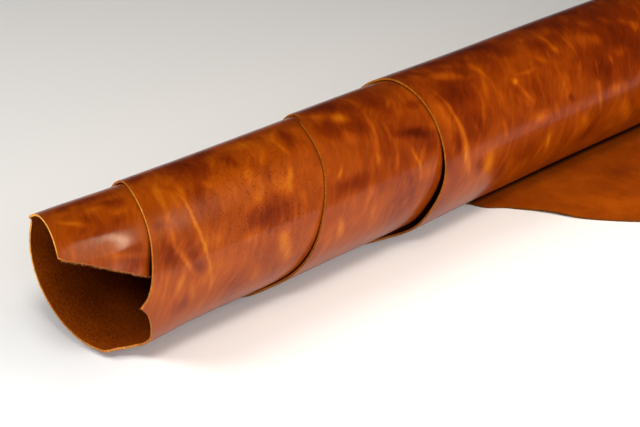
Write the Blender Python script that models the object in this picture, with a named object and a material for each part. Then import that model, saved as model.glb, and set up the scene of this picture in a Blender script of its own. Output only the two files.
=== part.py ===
"""One side of waxy brown leather, wound loosely into an open tube that lies on its own outer end.

Blender 4.5, metres, +Z up. The tube lies along X and opens at both ends. Its front is -Y.
The hide starts inside the tube at the front, goes over the top, down the back and under,
nearly four times, and its outer end runs out flat towards the front. The smooth grain
side is outside, so it is underneath on the flat end. The whole hide is one piece of leather.
"""

import math

import bmesh
import bpy

MM = 0.001

# The hide and the tube
THICKNESS = 1.8 * MM
ROLL_LENGTH = 1100 * MM  # from the foremost corner to the far end
TUBE_RADIUS = 65 * MM  # of the outermost turn, over the grain side
FLAT_SPOT = 10 * MM  # half the width on which the tube bears on the floor
TAIL_REACH = 270 * MM  # how far the loose end runs out from below the tube

# Angles along the winding, in degrees. 0 is the front, 90 the top, 180 the back, 270 below.
FIRST_DEG = -15  # where the hide starts, inside the tube
LAST_DEG = 1350  # where it touches down, below the tube's axis
STEP_DEG = 6

# In the next three tables a row marked as a corner is a sharp point, and the line runs
# smoothly between such rows.

# How far the grain side is from the tube's axis. The roll is a little taller than it is wide.
WINDING = (
    # turn_deg, radius_mm, corner
    (-15, 54.6, False),
    (17, 55.6, False),
    (54, 57.9, False),
    (100, 58.4, False),
    (270, 56.9, False),
    (360, 59.4, False),
    (410, 60.8, False),
    (460, 61.0, False),
    (540, 59.9, False),
    (630, 59.2, False),
    (720, 61.7, False),
    (770, 63.1, False),
    (820, 63.3, False),
    (900, 62.3, False),
    (990, 61.9, False),
    (1024, 63.4, False),
    (1080, 65.0, False),
    (1180, 65.7, False),
    (1260, 65.2, False),
    (1350, 65.0, False),
)

# The hide's near edge, as its distance from the foremost corner, measured along the tube
NEAR_EDGE = (
    # turn_deg, setback_mm, corner
    (-15, 300, False),
    (-5, 150, False),
    (18, 67, False),
    (27, 50, False),
    (54, 0, True),
    (90, 15, False),
    (148, 37, False),
    (284, 52, True),
    (288, 61, False),
    (293, 65, False),
    (300, 71, False),
    (315, 70, False),
    (328, 65, False),
    (350, 59, False),
    (359, 51, True),
    (361, 57, False),
    (390, 70, False),
    (448, 93, False),
    (475, 105, False),
    (488, 108, False),
    (662, 188, False),
    (672, 206, False),
    (731, 236, False),
    (761, 251, False),
    (806, 268, False),
    (820, 279, False),
    (842, 290, False),
    (1000, 318, False),
    (1019, 350, False),
    (1032, 357, False),
    (1050, 360, False),
    (1085, 375, False),
    (1168, 387, False),
    (1188, 390, False),
    (1210, 388, False),
    (1350, 445, True),
)

# The same edge on the loose end, by how far it has run out from below the tube's axis
TAIL_EDGE = (
    # reach_mm, setback_mm, corner
    (0, 445, True),
    (24, 457, False),
    (38, 461, False),
    (52, 474, False),
    (87, 493, False),
    (106, 500, False),
    (137, 521, False),
    (190, 568, False),
    (225, 622, False),
    (250, 700, False),
    (264, 790, False),
    (270, 880, False),
)
TAIL_STEPS = 36

# The far edge is a straight cut that is wound a little askew
FAR_SLANT = 24 * MM

# Where the near edge stands off from the roll, and how far from the edge it has settled
STAND_OFFS = (
    # turn_deg, half_width_deg, depth_mm, height_mm
    (88, 80, 66, 3.5),
    (312, 45, 30, 2.5),
    (478, 70, 40, 0.8),
    (1045, 64, 60, 3.0),
)

# Rows of the mesh from the near edge to the far one, as shares of the width
ROWS = (0, 0.015, 0.035, 0.06, 0.1, 0.17, 0.3, 0.55, 0.8, 1)


def eased(rows, at):
    """The value at a place in a table of (place, value, corner) rows, smooth but for its corners."""
    last = len(rows) - 1
    k = min(max(sum(row[0] <= at for row in rows) - 1, 0), last - 1)

    def slope(i):
        before = (rows[i][1] - rows[i - 1][1]) / (rows[i][0] - rows[i - 1][0]) if i > 0 else None
        after = (rows[i + 1][1] - rows[i][1]) / (rows[i + 1][0] - rows[i][0]) if i < last else None
        if rows[i][2] or before is None or after is None:
            return before if i == k + 1 else after
        if before * after <= 0:
            return 0.0
        return 2 * before * after / (before + after)

    (start, low, _), (end, high, _) = rows[k], rows[k + 1]
    width = end - start
    t = min(max((at - start) / width, 0.0), 1.0)
    return (
        low * (1 + 2 * t) * (1 - t) ** 2
        + high * t * t * (3 - 2 * t)
        + slope(k) * width * t * (1 - t) ** 2
        - slope(k + 1) * width * t * t * (1 - t)
    )


def axis_height():
    """Height of the tube's axis, lowered so that its outermost turn bears on a flat strip."""
    return math.sqrt(TUBE_RADIUS**2 - FLAT_SPOT**2)


def wound_point(turn_deg, from_edge):
    """(y, z) of the grain side at an angle of the winding, from below the tube's axis."""
    radius = eased(WINDING, turn_deg) * MM + stand_off(turn_deg, from_edge)
    angle = math.radians(turn_deg)
    y = -radius * math.cos(angle)
    z = axis_height() + radius * math.sin(angle)
    return y, max(z, 0.0)


def stand_off(turn_deg, from_edge):
    """How far the hide stands off from the roll, at a distance from its near edge."""
    total = 0.0
    for centre, half_width, depth, height in STAND_OFFS:
        away = abs(turn_deg - centre) / half_width
        if away < 1:
            around = math.cos(away * math.pi / 2) ** 2
            total += height * MM * around * math.exp(-((from_edge / (depth * MM)) ** 2))
    return total


def stations():
    """The hide's cross-lines: (angle of the winding or None, reach of the loose end)."""
    steps = round((LAST_DEG - FIRST_DEG) / STEP_DEG)
    angles = {FIRST_DEG + (LAST_DEG - FIRST_DEG) * k / steps for k in range(steps + 1)}
    for turn_deg, _, corner in NEAR_EDGE:
        if corner:
            angles = {a for a in angles if abs(a - turn_deg) > STEP_DEG / 3} | {turn_deg}
    found = [(a, 0.0) for a in sorted(angles)]
    found += [(None, TAIL_REACH * k / TAIL_STEPS) for k in range(1, TAIL_STEPS + 1)]
    return found


def hide_point(station, row, along):
    """The grain side's point on a cross-line, row being the share of the way to the far edge."""
    turn_deg, reach = station
    if turn_deg is None:
        near = eased(TAIL_EDGE, reach / MM) * MM
    else:
        near = eased(NEAR_EDGE, turn_deg) * MM
    far = ROLL_LENGTH - FAR_SLANT * (1 - along)
    x = near + row * (far - near)
    if turn_deg is None:
        y, z = -reach, 0.0
    else:
        y, z = wound_point(turn_deg, x - near)
    return x - ROLL_LENGTH / 2, y + (TAIL_REACH - TUBE_RADIUS) / 2, z


def make_hide():
    """The hide as one sheet on its winding, thickened towards its flesh side."""
    lines = stations()
    mesh = bpy.data.meshes.new("hide")
    sheet = bmesh.new()
    across, along = len(ROWS) - 1, len(lines) - 1
    bmesh.ops.create_grid(sheet, x_segments=across, y_segments=along, size=0.5)
    for vert in sheet.verts:
        row = ROWS[round((vert.co.x + 0.5) * across)]
        line = round((vert.co.y + 0.5) * along)
        vert.co = hide_point(lines[line], row, line / along)
    sheet.to_mesh(mesh)
    sheet.free()
    hide = bpy.data.objects.new("hide", mesh)
    bpy.context.scene.collection.objects.link(hide)
    solidify = hide.modifiers.new("leather_thickness", "SOLIDIFY")
    solidify.thickness = THICKNESS
    solidify.offset = -1
    solidify.use_even_offset = True
    mesh.shade_smooth()
    return hide


def leather():
    """Waxed brown grain leather with a soft shine."""
    material = bpy.data.materials.new("brown_leather")
    material.use_nodes = True
    shader = material.node_tree.nodes["Principled BSDF"]
    shader.inputs["Base Color"].default_value = (0.38, 0.10, 0.015, 1)
    shader.inputs["Roughness"].default_value = 0.38
    shader.inputs["Metallic"].default_value = 0.0
    return material


for old in list(bpy.data.objects):
    bpy.data.objects.remove(old)
hide = make_hide()
hide.data.materials.append(leather())
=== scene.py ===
import math
import random

import bmesh
import bpy
from mathutils import Matrix, Vector


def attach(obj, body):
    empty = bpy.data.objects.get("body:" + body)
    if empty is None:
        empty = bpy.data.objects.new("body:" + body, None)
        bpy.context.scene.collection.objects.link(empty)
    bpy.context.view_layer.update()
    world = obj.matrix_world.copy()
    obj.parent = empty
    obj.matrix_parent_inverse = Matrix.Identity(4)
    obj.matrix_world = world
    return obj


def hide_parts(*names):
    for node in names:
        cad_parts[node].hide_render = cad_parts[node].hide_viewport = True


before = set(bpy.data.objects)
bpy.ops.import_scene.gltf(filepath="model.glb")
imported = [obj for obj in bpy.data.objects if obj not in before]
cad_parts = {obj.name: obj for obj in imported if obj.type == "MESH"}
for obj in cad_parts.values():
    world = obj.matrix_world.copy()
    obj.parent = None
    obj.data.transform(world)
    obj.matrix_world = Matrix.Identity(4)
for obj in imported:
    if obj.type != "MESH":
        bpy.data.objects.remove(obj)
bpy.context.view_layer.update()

# The hide
# One side of waxed pull-up leather, 1.8 mm thick, wound into a loose tube with its grain side
# out. Its near edge runs askew, so the tube is stepped, and its outer end lies flat in front,
# flesh side up. The sheet is laid out flat as a grid and then wound.

MM = 0.001
THICKNESS = 1.8 * MM
ROLL_LENGTH = 1100 * MM  # from the foremost corner to the far end
TUBE_RADIUS = 65 * MM  # of the outermost turn, over the grain side
FLAT_SPOT = 10 * MM  # half the width on which the tube bears on the floor
TAIL_REACH = 270 * MM  # how far the loose end runs out from below the tube
FIRST_DEG = -15  # where the hide starts: 0 is the tube's front, 90 its top, 180 its back
LAST_DEG = 1350  # where it touches down below the tube's axis
FAR_SLANT = 24 * MM  # the far edge is a straight cut, wound a little askew
AXIS_HEIGHT = math.sqrt(TUBE_RADIUS**2 - FLAT_SPOT**2)  # of the tube over the floor

# How far the grain side is from the tube's axis. The roll is a little taller than it is wide.
# In this table and the next two, a row marked as a corner is a sharp point, and the line runs
# smoothly between such rows.
WINDING = (
    # turn_deg, radius_mm, corner
    (-15, 53.8, False),
    (17, 54.8, False),
    (54, 57.9, False),
    (100, 58.4, False),
    (270, 56.9, False),
    (360, 59.4, False),
    (410, 60.8, False),
    (460, 61.0, False),
    (540, 59.9, False),
    (630, 59.2, False),
    (720, 61.7, False),
    (770, 63.1, False),
    (820, 63.3, False),
    (900, 62.3, False),
    (990, 61.9, False),
    (1024, 63.4, False),
    (1080, 65.0, False),
    (1180, 65.7, False),
    (1260, 65.2, False),
    (1350, 65.0, False),
)

# The near edge, as its distance from the foremost corner, measured along the tube
NEAR_EDGE = (
    # turn_deg, setback_mm, corner
    # The hide's own ragged start, across the mouth of the tube
    (-15, 300, False),
    (-5, 150, False),
    (18, 67, False),
    (27, 50, False),
    # The foremost turn: over the top, down the back and under
    (54, 0, True),
    (90, 15, False),
    (115, 24, False),
    (125, 26, True),
    (129, 30, False),
    (148, 37, False),
    # A shallow bay low in front
    (284, 52, True),
    (288, 61, False),
    (293, 65, False),
    (300, 71, False),
    (316, 70.5, False),
    (328, 67, False),
    (350, 59, False),
    (359, 51, True),
    # The second turn
    (361, 57, False),
    (390, 70, False),
    (448, 93, False),
    (475, 105, False),
    (488, 108, False),
    # The third turn
    (662, 188, False),
    (672, 206, False),
    (731, 236, False),
    (761, 251, False),
    (806, 268, False),
    (820, 279, False),
    (842, 290, False),
    # The outermost turn
    (1000, 318, False),
    (1019, 350, False),
    (1032, 357, False),
    (1050, 360, False),
    (1085, 375, False),
    (1168, 387, False),
    (1188, 390, False),
    (1210, 388, False),
    (1350, 445, True),
)

# The same edge on the loose end, by how far it has run out from below the tube's axis
TAIL_EDGE = (
    # reach_mm, setback_mm, corner
    (0, 445, True),
    (24, 457, False),
    (38, 461, False),
    (52, 474, False),
    (87, 493, False),
    (106, 500, False),
    (137, 521, False),
    (190, 568, False),
    (225, 622, False),
    (250, 700, False),
    (264, 790, False),
    (270, 880, False),
)

# Where the near edge stands off from the roll, and how far from the edge it has settled
STAND_OFFS = (
    # turn_deg, half_width_deg, depth_mm, height_mm
    (88, 80, 66, 3.5),
    (312, 45, 30, 2.5),
    (478, 70, 40, 0.8),
    (698, 52, 26, 1.1),
    (1055, 66, 60, 3.4),
)

# Where a turn is pressed in under the edge of the next one, or bulges if its depth is below zero
HOLLOWS = (
    # turn_deg, half_width_deg, setback_mm, half_width_mm, depth_mm
    (712, 62, 402, 45, 2.2),
    (352, 62, 402, 45, 2.2),
    (22, 28, 85, 35, 1.4),
    (48, 34, 64, 48, -1.0),
    (402, 50, 62, 34, -1.0),
)

# Where the loose end's near edge lifts off the floor a little
TAIL_LIFTS = (
    # reach_mm, half_width_mm, depth_mm, height_mm
    (92, 34, 22, 1.6),
    (176, 40, 40, 2.4),
    (250, 46, 60, 3.2),
)

# A tube wound by hand isn't quite true: it has low waves round it and along it
WAVES = (
    # waves_round, radians_a_metre, starts_at, height_mm
    (2, 9, 1.3, 0.22),
    (3, -17, 0, 0.154),
    (1, 31, 0.4, 0.11),
    (5, 23, 2.1, 0.088),
)
SETTLING_DEG = 60  # the outermost turn grows true over this angle, down to the floor

TURN_STEP_DEG = 2.5  # of the mesh, round the tube
TAIL_STEPS = 54  # of the mesh, along the loose end
ROWS = 72  # of the mesh, from the near edge to the far one
CROWDING = 1.5  # above 1 it draws the rows together towards the near edge


def eased(rows, at):
    """The value at a place in a table of (place, value, corner) rows, smooth but for its corners."""
    last = len(rows) - 1
    k = min(max(sum(row[0] <= at for row in rows) - 1, 0), last - 1)

    def slope(i):
        before = (rows[i][1] - rows[i - 1][1]) / (rows[i][0] - rows[i - 1][0]) if i > 0 else None
        after = (rows[i + 1][1] - rows[i][1]) / (rows[i + 1][0] - rows[i][0]) if i < last else None
        if rows[i][2] or before is None or after is None:
            return before if i == k + 1 else after
        if before * after <= 0:
            return 0.0
        return 2 * before * after / (before + after)

    (start, low, _), (end, high, _) = rows[k], rows[k + 1]
    width = end - start
    t = min(max((at - start) / width, 0.0), 1.0)
    return (
        low * (1 + 2 * t) * (1 - t) ** 2
        + high * t * t * (3 - 2 * t)
        + slope(k) * width * t * (1 - t) ** 2
        - slope(k + 1) * width * t * t * (1 - t)
    )


def swell(at, centre, half_width):
    """1 at the centre of a stretch, easing to 0 at its ends."""
    away = abs(at - centre) / half_width
    return math.cos(away * math.pi / 2) ** 2 if away < 1 else 0.0


def settled(from_edge, depth):
    """1 at the near edge, falling to 0 past a depth in from it."""
    return math.exp(-((from_edge / (depth * MM)) ** 2))


def in_frame(x, y, z):
    """A point of the frame: x past the foremost corner, y behind the tube's axis, z over the floor."""
    return x - ROLL_LENGTH / 2, y + (TAIL_REACH - TUBE_RADIUS) / 2, z


def wound_point(turn_deg, x, from_edge):
    """The grain side's point on a turn, x being how far it is from the foremost corner."""
    angle = math.radians(turn_deg)
    radius = eased(WINDING, turn_deg) * MM
    for centre, half_width, depth, height in STAND_OFFS:
        rise = height * MM * swell(turn_deg, centre, half_width)
        radius += rise * settled(from_edge, depth)
    for centre, half_width, setback, reach, depth in HOLLOWS:
        radius -= depth * MM * swell(turn_deg, centre, half_width) * swell(x / MM, setback, reach)
    still_uneven = 1 - swell(turn_deg, LAST_DEG, SETTLING_DEG)
    for waves_round, waves_along, start, height in WAVES:
        wave = math.sin(waves_round * angle + waves_along * x + start)
        radius += height * MM * wave * still_uneven
    z = AXIS_HEIGHT + radius * math.sin(angle)
    return in_frame(x, -radius * math.cos(angle), max(z, 0.0))


def tail_point(reach, x, from_edge):
    """The grain side's point on the loose end, over the floor where its edge lifts."""
    lift = 0.0
    for centre, half_width, depth, height in TAIL_LIFTS:
        rise = height * MM * swell(reach / MM, centre, half_width)
        lift += rise * settled(from_edge, depth)
    return in_frame(x, -reach, lift)


# Cross-lines of the sheet: the angle of the winding or None, the reach of the loose end, and the
# flat distance from the start
turn_lines = round((LAST_DEG - FIRST_DEG) / TURN_STEP_DEG)
lines = []
flat_length = 0.0
for k in range(turn_lines + 1):
    turn_deg = FIRST_DEG + TURN_STEP_DEG * k
    if k:
        flat_length += eased(WINDING, turn_deg) * MM * math.radians(TURN_STEP_DEG)
    lines.append((turn_deg, 0.0, flat_length))
for k in range(1, TAIL_STEPS + 1):
    reach = TAIL_REACH * k / TAIL_STEPS
    lines.append((None, reach, flat_length + reach))

last_line = len(lines) - 1
sheet = bmesh.new()
bmesh.ops.create_grid(sheet, x_segments=ROWS, y_segments=last_line, size=0.5)
flat_uv = sheet.loops.layers.uv.new("flat")  # metres along from the start, and from the corner
covered = sheet.verts.layers.float.new("covered")  # how far in under the edge of the next turn
flat_place = {}
for vert in sheet.verts:
    share = (vert.co.x + 0.5) ** CROWDING
    line = round((vert.co.y + 0.5) * last_line)
    turn_deg, reach, along = lines[line]
    far = ROLL_LENGTH - FAR_SLANT * (1 - line / last_line)
    near = (eased(TAIL_EDGE, reach / MM) if turn_deg is None else eased(NEAR_EDGE, turn_deg)) * MM
    x = near + share * (far - near)
    if turn_deg is None:
        vert.co = tail_point(reach, x, x - near)
    else:
        vert.co = wound_point(turn_deg, x, x - near)
    flat_place[vert] = (along, x)
    vert[covered] = -1.0
    if turn_deg is not None and turn_deg + 360 < LAST_DEG:
        vert[covered] = x - eased(NEAR_EDGE, turn_deg + 360) * MM
flat_area = 0.0
for face in sheet.faces:
    face.smooth = True
    for loop in face.loops:
        loop[flat_uv].uv = flat_place[loop.vert]
    flat_area += face.calc_area()

hide_mesh = bpy.data.meshes.new("hide_sheet")
sheet.to_mesh(hide_mesh)
sheet.free()
hide = bpy.data.objects.new("hide_sheet", hide_mesh)
bpy.context.scene.collection.objects.link(hide)

thickness = hide.modifiers.new("leather_thickness", "SOLIDIFY")
thickness.thickness = THICKNESS
thickness.offset = -1
thickness.use_even_offset = True
thickness.material_offset = 1
thickness.material_offset_rim = 2
cut_corners = hide.modifiers.new("cut_corners", "BEVEL")
cut_corners.width = 0.3 * MM
cut_corners.segments = 2
cut_corners.limit_method = "ANGLE"
cut_corners.angle_limit = math.radians(50)
cut_corners.harden_normals = True


def add_node(tree, kind, values=None, **options):
    """A new shader node. values gives each socket a number, a colour or another node's output."""
    made = tree.nodes.new("ShaderNode" + kind)
    for option, value in options.items():
        setattr(made, option, value)
    for socket, value in (values or {}).items():
        if isinstance(value, bpy.types.NodeSocket):
            tree.links.new(value, made.inputs[socket])
        else:
            made.inputs[socket].default_value = value
    return made


def add_ramp(tree, factor, stops):
    """A colour ramp over factor, from rows of (place, colour)."""
    made = add_node(tree, "ValToRGB", {0: factor})
    ramp = made.color_ramp
    while len(ramp.elements) < len(stops):
        ramp.elements.new(0.5)
    for element, (place, colour) in zip(ramp.elements, stops):
        element.position = place
        element.color = (*colour, 1)
    return made.outputs["Color"]


def add_range(tree, value, low, high, at_low=0.0, at_high=1.0, **options):
    """at_low where value is low or less, at_high where it is high or more, and even between."""
    values = {0: value, 1: low, 2: high, 3: at_low, 4: at_high}
    return add_node(tree, "MapRange", values, **options).outputs[0]


def add_maths(tree, operation, *values):
    """The result of a Math node."""
    return add_node(tree, "Math", dict(enumerate(values)), operation=operation).outputs[0]


def add_noise(tree, place, scale, detail, roughness=0.5):
    """Values about 0.5 that drift over stretches of 1 / scale."""
    values = {"Vector": place, "Scale": scale, "Detail": detail, "Roughness": roughness}
    return add_node(tree, "TexNoise", values).outputs[0]


def add_bump(tree, height, distance, strength, over=None):
    """The normal of a surface that is raised by distance where height is 1."""
    values = {"Height": height, "Distance": distance, "Strength": strength}
    if over is not None:
        values["Normal"] = over
    return add_node(tree, "Bump", values).outputs["Normal"]


def scaled(tree, vector, share):
    """A colour or a vector times share."""
    return add_node(tree, "VectorMath", {0: vector, "Scale": share}, operation="SCALE").outputs[0]


def flat_place_in(tree):
    """The place on the flat hide, in metres: X along from its start, Y from the foremost corner."""
    return add_node(tree, "UVMap", uv_map="flat").outputs["UV"]


def laid_out(tree, place, centre, length, width, lean_deg=0):
    """Places measured from centre, in lengths round the roll and widths along it, at a lean."""
    values = {
        "Vector": place,
        "Location": (*centre, 0),
        "Rotation": (0, 0, math.radians(lean_deg)),
        "Scale": (length, width, 1),
    }
    return add_node(tree, "Mapping", values, vector_type="TEXTURE").outputs[0]


def round_patch(tree, place):
    """1 at the origin of place, falling to 0 at 1 from it."""
    return add_node(tree, "TexGradient", {"Vector": place}, gradient_type="SPHERICAL").outputs[1]


def new_finish(name):
    """A material, its node tree and its Principled BSDF."""
    material = bpy.data.materials.new(name)
    material.use_nodes = True
    return material, material.node_tree, material.node_tree.nodes["Principled BSDF"]


# Grain side: wax and oil that shift where the hide is bent, so it is marbled light and dark.
# These are the marks that show from the front, each fading out from its middle.
MARKS = (
    # turn_deg, setback_mm, length_mm round the roll, width_mm, lean_deg, tone
    # The innermost turn
    (76, 29, 14, 5, -50, 0.3),
    (82, 55, 5, 15, 0, 0.18),
    (90, 33, 6, 9, 0, 0.12),
    (73, 70, 4, 14, 0, 0.16),
    (75, 41, 8, 7, 0, -0.18),
    (83, 72, 9, 18, 0, -0.18),
    (66, 62, 7, 14, 0, -0.12),
    (62, 30, 14, 22, 0, -0.12),
    (98, 50, 10, 50, 0, -0.22),
    (38, 52, 30, 5, -73, 0.2),
    (30, 60, 20, 34, 0, -0.2),
    (62, 45, 42, 55, 0, -0.12),
    # The second turn
    (356, 118, 44, 66, 0, 0.06),
    (402, 118.5, 44, 2.6, 1, 0.4),
    (428, 124, 14, 4, 25, 0.22),
    (462, 126, 34, 4, 22, 0.14),
    (437, 108, 16, 6, 35, 0.18),
    (423, 101, 16, 5, 8, 0.2),
    (411, 99, 12, 4, 40, 0.16),
    (397, 96, 20, 4, 16, 0.24),
    (378, 100, 18, 5, -25, 0.32),
    (435, 108, 30, 26, 0, 0.1),
    (386, 129, 10, 14, 0, 0.14),
    (378, 164, 8, 14, 0, 0.22),
    (424, 147, 6, 5, 0, 0.2),
    (402, 178, 20, 6, 62, 0.16),
    (361, 87, 24, 5, 42, 0.2),
    (352, 101, 18, 6, 0, 0.16),
    (366, 118, 22, 2.5, 0, 0.14),
    (345, 167, 12, 9, 0, 0.18),
    (362, 195, 16, 11, 0, 0.34),
    (350, 199, 10, 7, 0, 0.2),
    (446, 171, 22, 5, 35, 0.18),
    (407, 218, 22, 4, 40, 0.32),
    (403, 208, 16, 12, 30, 0.2),
    (390, 222, 14, 7, 0, 0.2),
    (429, 209, 22, 5, 40, 0.2),
    (421, 183, 10, 13, 0, 0.14),
    (453, 205, 12, 22, 0, 0.16),
    (449, 238, 16, 5, 40, 0.24),
    (432, 232, 22, 3, 0, 0.16),
    (398, 246, 14, 8, 30, 0.14),
    (455, 158, 12, 5, 0, 0.12),
    (451, 152, 34, 44, 0, -0.34),
    (461, 108, 14, 22, 0, -0.26),
    (433, 118, 14, 8, 0, -0.22),
    (408, 89, 7, 11, 0, -0.18),
    (386, 87, 24, 16, 0, -0.28),
    (377, 109, 18, 12, 0, -0.28),
    (421, 133, 18, 16, 0, -0.2),
    (395, 107, 24, 14, 0, -0.18),
    (404, 131, 16, 18, 0, -0.16),
    (345, 91, 12, 14, 0, -0.14),
    (342, 148, 20, 20, 0, -0.16),
    (385, 189, 20, 40, 0, -0.3),
    (462, 178, 14, 14, 0, -0.24),
    (438, 183, 18, 10, 0, -0.24),
    (413, 203, 12, 12, 0, -0.12),
    (440, 246, 24, 11, 15, -0.24),
    (343, 187, 14, 8, 0, -0.14),
    (456, 223, 16, 10, 0, -0.14),
    # The third turn
    (712, 286, 36, 66, 0, 0.1),
    (770, 320, 60, 60, 0, -0.06),
    (825, 300, 30, 60, 0, -0.1),
    (798, 300, 12, 9, 30, 0.42),
    (783, 321, 22, 4, 20, 0.24),
    (765, 312, 28, 4, 31, 0.28),
    (755, 306, 8, 6, 0, 0.16),
    (755.5, 265, 10, 3, 40, 0.34),
    (716, 254, 14, 8, 0, 0.32),
    (776, 292, 10, 10, 0, 0.2),
    (744, 348, 16, 3.5, -22, 0.26),
    (745, 356, 14, 3.5, 40, 0.28),
    (734, 350.5, 12, 4, 0, 0.2),
    (749, 326, 22, 4, 28, 0.16),
    (760, 333, 10, 9, 0, 0.12),
    (732, 289, 18, 6, 35, 0.16),
    (730, 360, 16, 12, 0, 0.2),
    (793, 354, 11, 3, 45, 0.2),
    (809, 284, 8, 14, 40, 0.16),
    (770, 330, 16, 5, 15, 0.12),
    (700, 345, 30, 20, 0, 0.1),
    (760, 358, 32, 8, -77, -0.4),
    (790, 283, 22, 24, 0, -0.24),
    (785, 308, 20, 13, 25, -0.26),
    (814, 310, 20, 28, 40, -0.26),
    (800, 344, 26, 16, 0, -0.2),
    (784, 374, 8, 14, 0, -0.2),
    (745, 275, 10, 34, 0, -0.2),
    (733, 303, 10, 10, 0, -0.14),
    (708, 318, 28, 24, 0, -0.12),
    (720, 338, 20, 8, 0, -0.16),
    (750, 364, 10, 20, 0, -0.16),
    # The outermost turn
    (1072, 424, 40, 60, 0, 0.18),
    # Two broad darker marks over the top of this turn and towards its far end, darkening it as a whole
    (1180, 460, 50, 130, 0, -0.14),
    (1150, 640, 90, 110, 0, -0.24),
    (1124, 403.5, 36, 4, -3, 0.34),
    (1096, 402.5, 30, 7, 3, 0.34),
    (1080, 405.5, 14, 4, 0, 0.2),
    (1156, 427, 24, 11, -65, 0.32),
    (1077, 431, 20, 10, 0, 0.34),
    (1152, 463, 16, 7, 0, 0.26),
    (1134, 453, 26, 5, 33, 0.2),
    (1128, 489, 7, 6, 0, 0.45),
    (1116, 494, 14, 4, -20, 0.22),
    (1133, 509, 22, 3, 90, 0.22),
    (1099, 455.5, 14, 5, 0, 0.26),
    (1114, 433.5, 15, 3.5, 30, 0.22),
    (1107, 421, 10, 4, 0, 0.18),
    (1096, 504, 10, 18, 0, 0.34),
    (1095, 525, 12, 6, 0, 0.24),
    (1074, 514.5, 16, 4.5, -10, 0.28),
    (1068, 502, 14, 3.5, 45, 0.22),
    (1166, 404, 14, 7, 0, 0.16),
    (1172, 416.5, 22, 3, 0, 0.16),
    (1124, 392, 32, 10, 10, 0.14),
    (1168, 443, 8, 11, 40, 0.12),
    (1153, 561, 18, 4, 5, 0.24),
    (1143, 559, 8, 6, 0, 0.3),
    (1138, 534, 6, 9, 50, 0.2),
    (1137, 613, 12, 16, 40, 0.28),
    (1142, 596, 18, 20, 0, 0.18),
    (1140, 581, 26, 4, 10, 0.18),
    (1155, 620, 14, 11, 0, 0.16),
    (1151, 645, 8, 14, 50, 0.2),
    (1137, 673, 10, 10, 0, 0.3),
    (1145, 662, 8, 7, 0, 0.16),
    (1122, 635, 8, 16, 0, 0.2),
    (1117, 617, 6, 4, 0, 0.2),
    (1116, 596, 13, 3, 25, 0.22),
    (1092, 588.5, 26, 4, 0, 0.3),
    (1094, 612, 8, 15, 0, 0.22),
    (1095, 625, 9, 7, 0, 0.16),
    (1078, 565, 13, 10, 0, 0.32),
    (1070, 628, 24, 11, -30, 0.3),
    (1060, 611, 8, 13, 0, 0.2),
    (1110, 545, 22, 4, 0, 0.12),
    (1138, 420, 30, 32, 0, -0.34),
    (1110, 424, 22, 26, 0, -0.26),
    (1101, 395, 18, 9, 0, -0.24),
    (1164, 415, 13, 6, 0, -0.2),
    (1184, 436, 14, 22, 40, -0.2),
    (1179, 492, 20, 44, 30, -0.24),
    (1165, 463, 12, 7, 0, -0.14),
    (1160, 506, 14, 16, 0, -0.16),
    (1155, 446, 10, 12, 0, -0.2),
    (1078, 419, 14, 9, 0, -0.2),
    (1067, 450, 24, 14, 0, -0.24),
    (1072, 483, 20, 28, 0, -0.16),
    (1120, 484, 9, 6, 0, -0.14),
    (1116, 511, 20, 24, 0, -0.14),
    (1180, 575, 24, 20, 40, -0.24),
    (1152, 546, 16, 22, 0, -0.2),
    (1153, 570, 10, 10, 0, -0.12),
    (1111, 604, 26, 16, 0, -0.26),
    (1113, 590, 12, 9, 0, -0.14),
    (1164, 596, 16, 16, 0, -0.16),
    (1100, 549, 7, 6, 0, -0.24),
    (1125, 646, 36, 26, 0, -0.12),
    (1063, 573, 12, 26, -40, -0.26),
    (1186, 626, 12, 26, 40, -0.2),
)

MARK_TONE = 0.78  # share of its tone that a mark adds at its middle
LEAST_TONE = 0.235
CLOUDS_TONE = 0.32  # what broad soft clouds add to it, at most

# Thin paler wisps all over, which lean across the roll
WISPS = (
    # length_mm, width_mm, lean_deg, noise_low, noise_high, tone
    (30, 8, 28, 0.48, 0.72, 0.1),
    (15, 3.2, 34, 0.48, 0.72, 0.06),
    (22, 2, 24, 0.6, 0.68, 0.05),
    (14, 1.6, 42, 0.62, 0.7, 0.045),
)

# Waxed grain from the darkest to the palest tone
GRAIN_COLOURS = (
    # tone, colour
    (0.0, (0.05, 0.0045, 0.0003)),
    (0.25, (0.12, 0.014, 0.0004)),
    (0.5, (0.23, 0.039, 0.0006)),
    (0.75, (0.34, 0.092, 0.0016)),
    (1.0, (0.50, 0.18, 0.02)),
)

grain, tree, leather = new_finish("waxed_grain")
flat = flat_place_in(tree)


def drifted(place, scale, reach):
    """Places on the hide, shifted unevenly by about reach, over stretches of 1 / scale."""
    drift = add_node(tree, "TexNoise", {"Vector": place, "Scale": scale, "Detail": 2}).outputs[1]
    drift = add_node(
        tree, "VectorMath", {0: drift, 1: (0.5, 0.5, 0.5)}, operation="SUBTRACT"
    ).outputs[0]
    drift = scaled(tree, drift, 4 * reach)
    return add_node(tree, "VectorMath", {0: place, 1: drift}, operation="ADD").outputs[0]


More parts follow.
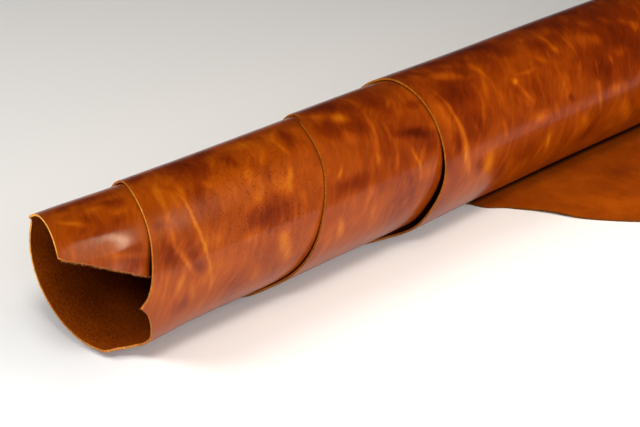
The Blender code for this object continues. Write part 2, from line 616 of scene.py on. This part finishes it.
clouded = drifted(flat, 30, 5 * MM)
tone = add_maths(tree, "MULTIPLY_ADD", add_noise(tree, clouded, 38, 4), CLOUDS_TONE, LEAST_TONE)
feathered = drifted(drifted(flat, 28, 2.5 * MM), 140, 0.6 * MM)
for turn_deg, setback, length, width, lean_deg, mark_tone in MARKS:
    nearest = min(turn_lines, round((turn_deg - FIRST_DEG) / TURN_STEP_DEG))
    past = math.radians(turn_deg - lines[nearest][0]) * eased(WINDING, turn_deg)
    centre = (lines[nearest][2] + past * MM, setback * MM)
    placed = laid_out(tree, feathered, centre, length * MM, width * MM, lean_deg)
    near_by = round_patch(tree, placed)
    most = MARK_TONE * mark_tone
    mark = add_range(tree, near_by, 0, 1, 0, most, interpolation_type="SMOOTHSTEP")
    tone = add_maths(tree, "ADD", tone, mark)
for length, width, lean_deg, low, high, wisp_tone in WISPS:
    placed = laid_out(tree, clouded, (0, 0), length * MM, width * MM, lean_deg)
    wisps = add_range(tree, add_noise(tree, placed, 1, 1), low, high, 0, wisp_tone)
    tone = add_maths(tree, "ADD", tone, wisps)

# Pores, open and dark on the stretch of the second turn that was bent the most
MOST_BENT = (425 * MM, 185 * MM)  # its middle, on the flat hide
PORES_TONE = -0.3
pores = add_node(tree, "TexVoronoi", {"Vector": flat, "Scale": 450}, feature="F1").outputs["Distance"]
dots = add_range(tree, pores, 0.12, 0.34, 1, 0)
most_bent = round_patch(tree, laid_out(tree, clouded, MOST_BENT, 85 * MM, 110 * MM))
dots = add_maths(tree, "MULTIPLY", dots, most_bent)
tone = add_maths(tree, "MULTIPLY_ADD", dots, PORES_TONE, tone)

# The leather is made a little darker from 220 mm past the foremost corner onwards, and nearly black
# where a turn lies in under the edge of the next one, which is painted shade.
from_corner = add_node(tree, "SeparateXYZ", {0: flat}).outputs["Y"]
darker_further_along = add_range(tree, from_corner, 220 * MM, 340 * MM, 0, 0.09)
tone = add_maths(tree, "SUBTRACT", tone, darker_further_along)
under = add_node(tree, "Attribute", attribute_name="covered").outputs["Fac"]
# Painted shade: nearly black where the leather lies in under the next turn's edge
painted_shade_under_turns = add_range(tree, under, 0, 1.2 * MM, 1, 0.04)
marbled = scaled(tree, add_ramp(tree, tone, GRAIN_COLOURS), painted_shade_under_turns)
tree.links.new(marbled, leather.inputs["Base Color"])
tree.links.new(add_range(tree, tone, 0.2, 0.8, 0.28, 0.4), leather.inputs["Roughness"])
leather.inputs["Specular IOR Level"].default_value = 0.08
leather.inputs["Coat Weight"].default_value = 0.3
leather.inputs["Coat Roughness"].default_value = 0.13
relief = add_maths(tree, "ADD", pores, add_noise(tree, flat, 420, 3))
pebbled = add_bump(tree, relief, 0.08 * MM, 0.5)
creased = add_bump(tree, add_noise(tree, flat, 45, 3), 0.2 * MM, 0.5, over=pebbled)
tree.links.new(creased, leather.inputs["Normal"])

# Flesh side: matt suede nap in a plainer brown, rough inside the tube and plain on the loose end. It
# is painted darker inside the tube, and dark in the crevice where the tube lies on the loose end: both
# are painted shade.
FLESH_COLOURS = (
    # mottling, colour
    (0.22, (0.13, 0.018, 0.0005)),
    (0.45, (0.22, 0.036, 0.0006)),
    (0.68, (0.32, 0.06, 0.0009)),
)
PAINTED_SHADE_REACH = 100 * MM  # either way from below the tube's axis
CREVICE_PAINTED_SHADE = (
    # share of the way over that stretch, shade
    (0.1, (1, 1, 1)),
    (0.3, (0.06, 0.06, 0.06)),
    (0.622, (0.06, 0.06, 0.06)),
    (0.65, (1, 1, 1)),
)
TURNS_PLAIN = (300 * MM, 900 * MM)  # along the hide, out of sight between its turns
flesh, tree, suede = new_finish("suede_flesh")
flat = flat_place_in(tree)
cloud = add_noise(tree, flat, 16, 5, 0.62)
nap = add_noise(tree, flat, 500, 2)
along = add_node(tree, "SeparateXYZ", {0: flat}).outputs["X"]
rougher = add_range(tree, along, *TURNS_PLAIN, 0.9, 0.2)
mottled = add_maths(tree, "SUBTRACT", nap, 0.5)
mottled = add_maths(tree, "MULTIPLY_ADD", mottled, rougher, cloud)
# Painted shade: dark in the crevice where the tube lies on the loose end
across_painted_shade = add_range(tree, along, flat_length - PAINTED_SHADE_REACH, flat_length + PAINTED_SHADE_REACH)
suede_colour = add_node(
    tree,
    "VectorMath",
    {0: add_ramp(tree, mottled, FLESH_COLOURS), 1: add_ramp(tree, across_painted_shade, CREVICE_PAINTED_SHADE)},
    operation="MULTIPLY",
).outputs[0]
# Painted shade: the flesh inside the tube is darker than on the loose end
painted_shade_in_tube = add_range(tree, along, *TURNS_PLAIN, 0.65, 1.02)
suede_colour = scaled(tree, suede_colour, painted_shade_in_tube)
tree.links.new(suede_colour, suede.inputs["Base Color"])
suede.inputs["Roughness"].default_value = 0.9
suede.inputs["Specular IOR Level"].default_value = 0.03
tree.links.new(add_bump(tree, nap, 0.2 * MM, 0.6), suede.inputs["Normal"])

# Cut edge: raw fibre, paler than either side in places and darker where wax has soaked in. Its dark
# stretch low on the third turn and its dark colour along the loose end are painted shade. The places
# are shares of CUT_SPAN, measured along the hide from its start.
CUT_SPAN = 1400 * MM
CUT_COLOURS_AND_SHADE = (
    # place, colour
    (0.045, (0.42, 0.11, 0.015)),
    (0.055, (0.90, 0.42, 0.08)),
    (0.15, (0.80, 0.36, 0.06)),
    (0.17, (0.48, 0.18, 0.03)),
    (0.22, (0.48, 0.17, 0.03)),
    (0.26, (0.50, 0.165, 0.022)),
    (0.295, (0.50, 0.165, 0.022)),
    (0.32, (0.85, 0.35, 0.05)),
    (0.35, (0.60, 0.17, 0.02)),
    # painted shade: the third turn's edge, low down where it is shaded
    (0.49, (0.16, 0.045, 0.004)),
    (0.54, (0.34, 0.09, 0.008)),
    (0.62, (0.42, 0.12, 0.01)),
    (0.765, (0.18, 0.05, 0.004)),
    (0.82, (0.46, 0.13, 0.012)),
    (0.86, (0.40, 0.12, 0.01)),
    (0.92, (0.42, 0.14, 0.014)),
    # painted shade: the loose end's edge, dark as the shadow under where it lifts
    (1.0, (0.12, 0.033, 0.003)),
)
cut, tree, raw = new_finish("raw_cut_edge")
flat = flat_place_in(tree)
along = add_node(tree, "SeparateXYZ", {0: flat}).outputs["X"]
cut_colour = add_ramp(tree, add_range(tree, along, 0, CUT_SPAN), CUT_COLOURS_AND_SHADE)
speckled = add_range(tree, add_noise(tree, flat, 600, 3), 0.3, 0.7, 0.6, 1.2)
tree.links.new(scaled(tree, cut_colour, speckled), raw.inputs["Base Color"])
raw.inputs["Roughness"].default_value = 0.8
raw.inputs["Specular IOR Level"].default_value = 0.05

for finish in (grain, flesh, cut):
    hide_mesh.materials.append(finish)
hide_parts("hide")
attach(hide, "root")

# Edge fibres
# Loose fibres that stand out of the raw cut edge, thickest along the hide's own ragged start
# inside the tube. Each is a thin spike rooted in the leather.

FUZZ = (
    # first_deg, last_deg, count, longest_mm
    (12, 53, 360, 2.4),
    (58, 140, 30, 0.6),
    (290, 350, 50, 0.7),
    (350, 363, 36, 1.1),
    (364, 470, 60, 0.7),
)
FIBRE_FOOT = 0.2 * MM  # radius
FIBRE_TIP = 0.03 * MM
ROOTED = 0.1 * MM  # how far a fibre's foot is sunk into the cut edge

luck = random.Random(7)
fuzz = bmesh.new()
for first_deg, last_deg, count, longest in FUZZ:
    for _ in range(count):
        turn_deg = luck.uniform(first_deg, last_deg)
        foot = Vector(wound_point(turn_deg, eased(NEAR_EDGE, turn_deg) * MM, 0.0))
        ahead_deg = turn_deg + 0.5
        ahead = Vector(wound_point(ahead_deg, eased(NEAR_EDGE, ahead_deg) * MM, 0.0))
        angle = math.radians(turn_deg)
        outward = Vector((0, -math.cos(angle), math.sin(angle)))
        lengthwise = (ahead - foot).normalized()
        beyond = lengthwise.cross(outward)
        if beyond.x > 0:
            beyond.negate()
        foot -= outward * THICKNESS * luck.uniform(0.15, 0.95) + beyond * ROOTED
        spike = beyond + outward * luck.uniform(-0.9, 0.4) + lengthwise * luck.uniform(-0.9, 0.9)
        spike = spike.normalized() * luck.uniform(0.3, 1) * longest * MM
        turned = spike.to_track_quat("Z", "Y").to_matrix().to_4x4()
        bmesh.ops.create_cone(
            fuzz,
            cap_ends=True,
            segments=3,
            radius1=FIBRE_FOOT,
            radius2=FIBRE_TIP,
            depth=spike.length,
            matrix=Matrix.Translation(foot + spike / 2) @ turned,
        )
fibre_mesh = bpy.data.meshes.new("edge_fibres")
fuzz.to_mesh(fibre_mesh)
fuzz.free()
fibres = bpy.data.objects.new("edge_fibres", fibre_mesh)
bpy.context.scene.collection.objects.link(fibres)
loose_fibre, tree, hair = new_finish("loose_fibre")
by_place = add_noise(tree, add_node(tree, "TexCoord").outputs["Object"], 700, 1)
hair_colour = add_ramp(tree, by_place, ((0.35, (0.20, 0.05, 0.006)), (0.65, (0.52, 0.17, 0.03))))
tree.links.new(hair_colour, hair.inputs["Base Color"])
hair.inputs["Roughness"].default_value = 0.9
fibre_mesh.materials.append(loose_fibre)
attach(fibres, "root")

# Studio
# A pale floor, soft lights from the left, the front and above, and the camera at the
# photograph's angle. A thin warm strip makes the highlight on the innermost turn.

bpy.ops.mesh.primitive_plane_add(size=60)
floor = bpy.context.object
floor.name = "floor"
floor_finish, tree, paint = new_finish("pale_floor")
paint.inputs["Base Color"].default_value = (0.80, 0.795, 0.78, 1)
paint.inputs["Roughness"].default_value = 0.6
floor.data.materials.append(floor_finish)


def softbox(name, place, aim, width, height, watts, across=None):
    """An area light at place that faces aim, its width level or lying along across."""
    back = (Vector(place) - Vector(aim)).normalized()
    across = Vector(across) if across else Vector((0, 0, 1)).cross(back)
    across = (across - back * across.dot(back)).normalized()
    data = bpy.data.lights.new(name, "AREA")
    data.shape = "ELLIPSE"
    data.size = width
    data.size_y = height
    data.energy = watts
    light = bpy.data.objects.new(name, data)
    light.location = place
    turned = Matrix((across, back.cross(across), back)).transposed()
    light.rotation_euler = turned.to_euler()
    bpy.context.scene.collection.objects.link(light)
    return light


stepped_end = (-0.3, 0.05, 0.05)  # what most of the lights face
softbox("key", (-1.2, -0.9, 1.8), stepped_end, 0.6, 0.6, 22)
softbox("back", (-1.9, 0.8, 1.6), stepped_end, 1.2, 1.0, 36)
softbox("low_front", (-0.1, -1.7, 0.45), (-0.2, 0.05, 0.05), 1.2, 0.5, 26)
softbox("left_front", (-1.3, -1.5, 1.1), stepped_end, 0.6, 0.6, 8)
softbox("top", (-0.5, -0.1, 2.1), stepped_end, 0.8, 0.8, 1.5)
fill = softbox("fill", (0.5, -1.5, 0.9), stepped_end, 0.8, 0.8, 10)
fill.visible_glossy = False
strip = softbox("strip", (0.045, -0.31, 0.79), (-0.489, 0.064, 0.107), 0.025, 0.6, 3.1, (1, 0, 0))
strip.data.color = (1, 0.74, 0.5)

# The surroundings are nearly black but for a dim patch overhead
world = bpy.data.worlds.new("studio")
bpy.context.scene.world = world
world.use_nodes = True
sky = world.node_tree
heading = add_node(sky, "TexCoord").outputs["Generated"]
height = add_node(sky, "SeparateXYZ", {0: heading}).outputs["Z"]
SKY = (
    # height, colour
    (0.0, (0.01, 0.01, 0.01)),
    (0.87, (0.01, 0.01, 0.01)),
    (0.96, (0.1, 0.1, 0.1)),
)
glow = add_ramp(sky, height, SKY)
sky.links.new(glow, sky.nodes["Background"].inputs["Color"])
sky.nodes["Background"].inputs["Strength"].default_value = 1.5
bpy.context.scene.view_settings.view_transform = "Standard"

camera_data = bpy.data.cameras.new("camera")
camera_data.lens = 100
camera_data.sensor_width = 36
camera = bpy.data.objects.new("camera", camera_data)
camera.location = (-1.2032, -0.8437, 0.6714)
camera.rotation_euler = (math.radians(64.674), 0, math.radians(-44.995))
bpy.context.scene.collection.objects.link(camera)
bpy.context.scene.camera = camera
